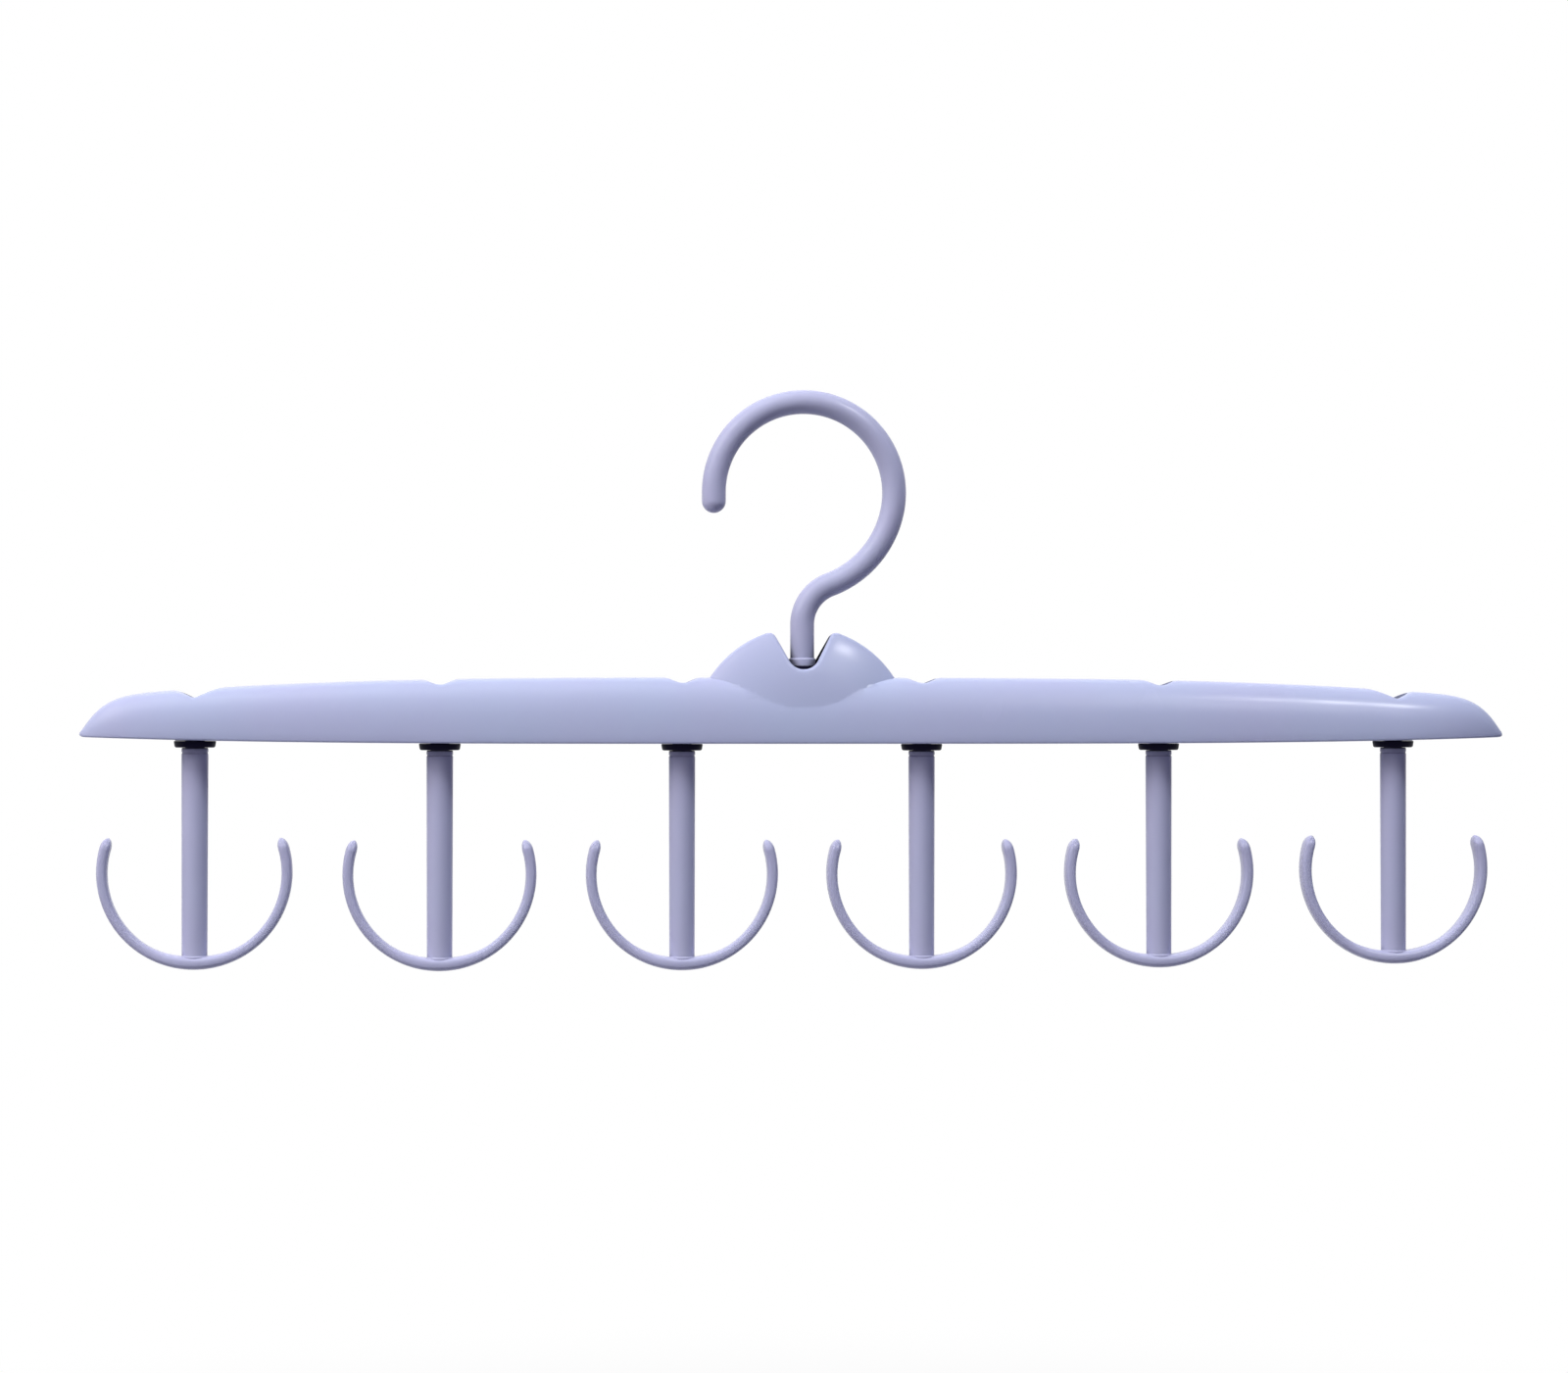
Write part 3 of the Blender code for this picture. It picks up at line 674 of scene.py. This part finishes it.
def barRing(angle, scale):
    # section of the arms, thick at the foot, slim half way up and a little fuller at the tips
    form = hookForm
    blend = min(1, abs(angle) / form["footSpread"])
    foot = (1 + math.cos(math.pi * blend)) / 2
    reach = abs(angle) / (math.pi / 2 + form["tipRise"])
    bulb = max(0, 2 * reach - 1) ** 2
    thickness = form["barThickness"] + (form["footThickness"] - form["barThickness"]) * foot
    thickness = thickness + (form["tipThickness"] - form["barThickness"]) * bulb
    depth = form["barDepth"] + (form["footDepth"] - form["barDepth"]) * foot
    depth = depth + (form["tipDepth"] - form["barDepth"]) * bulb
    centre = form["arcRadius"] - thickness / 2
    level = form["arcRadius"] - form["drop"]
    ring = []
    for side in range(form["barSides"]):
        turn = 2 * math.pi * side / form["barSides"]
        cosine, sine = math.cos(turn), math.sin(turn)
        outward = scale * thickness / 2 * math.copysign(abs(cosine) ** (2 / form["barPower"]), cosine)
        across = scale * depth / 2 * math.copysign(abs(sine) ** (2 / form["barPower"]), sine)
        radius = centre + outward
        ring.append(Vector((radius * math.sin(angle), across, level - radius * math.cos(angle))) * mm)
    return ring


def armsMesh():
    form = hookForm
    point = form["tipLength"] / form["arcRadius"]
    full = math.pi / 2 + form["tipRise"] - point
    middle = [(full * (2 * step / form["armSteps"] - 1), 1) for step in range(form["armSteps"] + 1)]
    ends = []
    for step in range(1, form["tipSteps"] + 1):
        share = math.sin(math.pi / 2 * step / form["tipSteps"])
        scale = (1 - share ** form["tipPower"]) ** form["tipRoundPower"]
        ends.append((full + point * share, max(form["tipLeastShare"], scale)))
    stations = [(-angle, scale) for angle, scale in reversed(ends)] + middle + ends
    return loft("arms", [barRing(angle, scale) for angle, scale in stations])


def headProfile(shoulder, direction):
    # snap head beyond its shoulder: direction 1 is up, -1 is down
    form = hookForm
    end = shoulder + direction * form["headHeight"]
    lead = form["headHeight"] * form["leadShare"]
    return [(0, end), (form["neck"] - form["headTaper"], end), (form["head"], end - direction * lead),
            (form["head"], shoulder), (form["neck"], shoulder)]


def slotMesh(shoulder, direction, sink):
    # gap that splits the head, from outside its end to sink below its shoulder
    form, over = hookForm, meshing["overcut"]
    height = form["headHeight"] + over + sink
    middle = shoulder + direction * (form["headHeight"] + over - height / 2)
    return box("slot", (0, 0, middle), (form["slot"], 2 * form["head"] + over, height))


def stemMesh():
    form = hookForm
    edge, fillet = form["ringEdge"], form["footFillet"]
    ringBottom = form["ringTop"] - form["ringHeight"]
    grooveFoot = ringBottom - form["grooveWidth"]
    stemHead = grooveFoot - form["grooveTaper"]
    waist = form["stemTop"] - form["groove"]
    footTop = form["footThickness"] - form["drop"]
    profile = headProfile(form["shoulder"], 1) + [(form["neck"], form["ringTop"])]
    profile = profile + arc((form["ring"] - edge, form["ringTop"] - edge), edge, math.pi / 2, 0,
                            form["ringSteps"])
    profile = profile + [(form["ring"], ringBottom), (waist, ringBottom), (waist, grooveFoot)]
    for row in range(form["stemRows"] + 1):
        share = row / form["stemRows"]
        profile.append((form["stemTop"] + (form["stemFoot"] - form["stemTop"]) * share,
                        stemHead + (footTop + fillet - stemHead) * share))
    foot = arc((form["stemFoot"] + fillet, footTop + fillet), fillet, math.pi, form["filletEnd"],
               form["filletSteps"])[1:]
    sunk = footTop - form["footSink"]  # ends inside the arms
    return turned("stem", profile + foot + [(foot[-1][0], sunk), (0, sunk)])


hookShape = carved("doubleHook", stemMesh(), [
    ("UNION", armsMesh()),
    ("DIFFERENCE", slotMesh(hookForm["shoulder"], 1, hookForm["slotSink"])),
])
finishMesh(hookShape, lavender)
for number, x in enumerate(hookPlaces, start=1):
    hook = addObject("doubleHook" + str(number), hookShape)
    hook.location = (x * mm, 0, seatLevel(x) * mm - crown)
    place(hook, "double hook " + str(number), "double_hook_" + str(number), "lavender_plastic")


topForm = {
    "rod": 3.2, "bend": 11.4, "bendTurn": math.radians(69.3), "side": 26.8, "sideTurn": math.radians(58.3),
    "loop": 24.1, "tipDrop": 2.4, "collar": 3.6, "collarBottom": 20.7, "collarHeight": 2.1, "shank": 8.9,
    "collarEdge": 0.5, "headShoulder": 15.8, "slotSink": 1.5, "rodSunk": 1, "shankShort": 4,
    "bendSteps": 24, "sideSteps": 30, "loopSteps": 90, "tipSteps": 13, "collarSteps": 6, "sides": 40,
}


def rodPath():
    # middle line of the "?" in (x, z) with the rod's thickness there as a share
    form = topForm
    bendZ = form["collarBottom"] + form["collarHeight"] + form["shank"]
    side = (form["bend"] - (form["bend"] + form["side"]) * math.cos(form["bendTurn"]),
            bendZ + (form["bend"] + form["side"]) * math.sin(form["bendTurn"]))
    meet = form["sideTurn"] - form["bendTurn"]
    loop = (side[0] + (form["side"] - form["loop"]) * math.cos(meet),
            side[1] + (form["side"] - form["loop"]) * math.sin(meet))
    path = [(0, form["collarBottom"] + form["rodSunk"]), (0, bendZ - form["shankShort"])]
    path = path + arc((form["bend"], bendZ), form["bend"], math.pi, math.pi - form["bendTurn"],
                      form["bendSteps"])
    path = path + arc(side, form["side"], -form["bendTurn"], meet, form["sideSteps"])[1:]
    path = path + arc(loop, form["loop"], meet, math.pi, form["loopSteps"])[1:]
    shares = [1] * len(path)
    for step in range(form["tipSteps"]):
        turn = math.pi / 2 * step / (form["tipSteps"] - 0.5)  # stops short of the pole of the round tip
        path.append((loop[0] - form["loop"], loop[1] - form["tipDrop"] - form["rod"] * math.sin(turn)))
        shares.append(math.cos(turn))
    return path, shares


def rodMesh():
    path, shares = rodPath()
    rings = []
    for number, ((x, z), share) in enumerate(zip(path, shares)):
        before, after = path[max(0, number - 1)], path[min(len(path) - 1, number + 1)]
        along = Vector((after[0] - before[0], after[1] - before[1])).normalized()
        radius = topForm["rod"] * share
        ring = []
        for side in range(topForm["sides"]):
            turn = 2 * math.pi * side / topForm["sides"]
            out = radius * math.cos(turn)
            ring.append(Vector((x - along.y * out, radius * math.sin(turn), z + along.x * out)) * mm)
        rings.append(ring)
    return loft("rod", rings)


def collarMesh():
    form = topForm
    low, high, edge = form["collarBottom"], form["collarBottom"] + form["collarHeight"], form["collarEdge"]
    crest = arc((form["collar"] - edge, high - edge), edge, math.pi / 2, 0, form["collarSteps"])
    profile = [(0, high)] + crest + [(form["collar"], low), (hookForm["neck"], low)]
    return turned("collar", profile + list(reversed(headProfile(form["headShoulder"], -1))))


topShape = carved("topHook", rodMesh(), [
    ("UNION", collarMesh()),
    ("DIFFERENCE", slotMesh(topForm["headShoulder"], -1, topForm["slotSink"])),
])
topShape.transform(Matrix.Translation((0, 0, -crown)))
finishMesh(topShape, lavender)
place(addObject("topHook", topShape), "top hook", "top_hook", "lavender_plastic")


studio = {
    # sizes in m; the paper glows less near the object and is plain white towards its edge
    "floorDrop": 0.33, "floorRadius": 0.6, "floorSides": 96, "floorColour": "9A9AA0", "floorRoughness": 0.9,
    "floorGlow": 0.85, "glowFromShare": 0.4, "glowToShare": 0.97,
    "skyColour": "A0A0F0", "sky": 0.11,
    "glossOnly": ["glint", "hubGlint"],
    "noGloss": ["upperRight", "back", "overRight"],
}
lamps = {
    # degrees from the front (left is negative) and over the horizon, distance and size in m, W, colour
    "upperLeft": (-30, 62, 1.6, (0.8, 0.8), 7.2, "FFFEFA"),
    "upperRight": (30, 62, 1.6, (0.45, 0.45), 13.0, "F6FCFF"),
    "left": (-60, 35, 1.3, (0.7, 0.7), 11.5, "FFFEFA"),
    "side": (-85, 5, 1.6, (0.8, 0.8), 3.0, "FFF8F4"),
    "back": (180, 38, 1.6, (0.4, 0.4), 11.5, "FFFFFF"),
    "overRight": (85, 68, 0.9, (0.3, 0.3), 1.4, "FFFFFF"),
    "glint": (22, 32, 1.0, (0.2, 0.2), 1.4, "FFFFFF"),
    "hubGlint": (35, 44, 1.0, (0.1, 0.06), 5.0, "FFFFFF"),
}
cameraFit = {
    "distance": 1.0,  # m
    "yaw": math.radians(4.89), "pitch": math.radians(0.767), "lens": 86.31, "sensor": 36,
    "aimX": -4.84, "aimZ": 1.84,
}


def seenDirectly(tree):
    # 1 for what the camera sees, also in gloss or through glass, and 0 for the rays that light the object
    rays = addNode(tree, "ShaderNodeLightPath")
    straight = addNode(tree, "ShaderNodeMath", {"operation": "ADD", "use_clamp": True},
                       {0: rays.outputs["Is Camera Ray"], 1: rays.outputs["Is Glossy Ray"]})
    through = addNode(tree, "ShaderNodeMath", {"operation": "ADD", "use_clamp": True},
                      {0: straight.outputs[0], 1: rays.outputs["Is Transmission Ray"]})
    return through.outputs[0]


def seamlessPaper():
    # matt white studio paper: it takes the object's shadow and looks almost white
    paper = bpy.data.materials.new("seamlessPaperWhite")
    paper.use_nodes = True
    tree = paper.node_tree
    shader = tree.nodes["Principled BSDF"]
    shader.inputs["Base Color"].default_value = hexToLinear(studio["floorColour"])
    shader.inputs["Roughness"].default_value = studio["floorRoughness"]
    glow = addNode(tree, "ShaderNodeEmission", {"Color": (1, 1, 1, 1), "Strength": 1})
    where = addNode(tree, "ShaderNodeTexCoord")
    reach = addNode(tree, "ShaderNodeVectorMath", {"operation": "LENGTH"}, {0: where.outputs["Object"]})
    fade = addNode(tree, "ShaderNodeMapRange",
                   {"interpolation_type": "SMOOTHSTEP", "To Min": studio["floorGlow"], "To Max": 1,
                    "From Min": studio["glowFromShare"] * studio["floorRadius"],
                    "From Max": studio["glowToShare"] * studio["floorRadius"]},
                   {"Value": reach.outputs["Value"]})
    part = addNode(tree, "ShaderNodeMath", {"operation": "MULTIPLY"},
                   {0: seenDirectly(tree), 1: fade.outputs["Result"]})
    blend = addNode(tree, "ShaderNodeMixShader", {},
                    {0: part.outputs[0], 1: shader.outputs[0], 2: glow.outputs[0]})
    tree.links.new(blend.outputs[0], tree.nodes["Material Output"].inputs["Surface"])
    return paper


def makeFloor():
    shape = bmesh.new()
    bmesh.ops.create_circle(shape, cap_ends=True, segments=studio["floorSides"], radius=studio["floorRadius"])
    mesh = bpy.data.meshes.new("floor")
    shape.to_mesh(mesh)
    shape.free()
    mesh.materials.append(seamlessPaper())
    floor = addObject("floor", mesh)
    floor.location.z = -studio["floorDrop"]


def makeWorld():
    # studio hall, dim for the object and white for the camera
    world = bpy.data.worlds.new("studio")
    bpy.context.scene.world = world
    world.use_nodes = True
    tree = world.node_tree
    soft = tree.nodes["Background"]
    soft.inputs["Color"].default_value = hexToLinear(studio["skyColour"])
    soft.inputs["Strength"].default_value = studio["sky"]
    white = addNode(tree, "ShaderNodeBackground", {"Color": (1, 1, 1, 1), "Strength": 1})
    blend = addNode(tree, "ShaderNodeMixShader", {},
                    {0: seenDirectly(tree), 1: soft.outputs[0], 2: white.outputs[0]})
    tree.links.new(blend.outputs[0], tree.nodes["World Output"].inputs["Surface"])


def addLamp(name):
    turn, rise, distance, size, power, colour = lamps[name]
    turn, rise = math.radians(turn), math.radians(rise)
    lamp = bpy.data.lights.new(name, "AREA")
    lamp.shape = "RECTANGLE"
    lamp.size, lamp.size_y = size
    lamp.energy = power
    lamp.color = hexToLinear(colour)[:3]
    item = bpy.data.objects.new(name, lamp)
    item.visible_diffuse = name not in studio["glossOnly"]
    item.visible_glossy = name not in studio["noGloss"]
    bpy.context.scene.collection.objects.link(item)
    away = Vector((math.sin(turn) * math.cos(rise), -math.cos(turn) * math.cos(rise), math.sin(rise)))
    item.location = Vector((0, 0, -crown)) + away * distance
    item.rotation_euler = (-away).to_track_quat("-Z", "Y").to_euler()


def addCamera():
    fit = cameraFit
    camera = bpy.data.objects.new("photoCamera", bpy.data.cameras.new("photoCamera"))
    bpy.context.scene.collection.objects.link(camera)
    forward = Vector((math.sin(fit["yaw"]) * math.cos(fit["pitch"]),
                      math.cos(fit["yaw"]) * math.cos(fit["pitch"]), math.sin(fit["pitch"])))
    camera.location = (fit["aimX"] * mm - fit["distance"] * math.sin(fit["yaw"]),
                       -fit["distance"] * math.cos(fit["yaw"]), fit["aimZ"] * mm - crown)
    camera.rotation_euler = forward.to_track_quat("-Z", "Y").to_euler()
    camera.data.lens = fit["lens"]
    camera.data.sensor_width = fit["sensor"]
    bpy.context.scene.camera = camera


for leftover in [item for item in bpy.data.objects if item.name in ("Cube", "Light", "Camera")]:
    bpy.data.objects.remove(leftover, do_unlink=True)
makeFloor()
makeWorld()
for lampName in lamps:
    addLamp(lampName)
addCamera()
bpy.context.scene.view_settings.view_transform = "Standard"
print("stage: floor, light and camera ready")
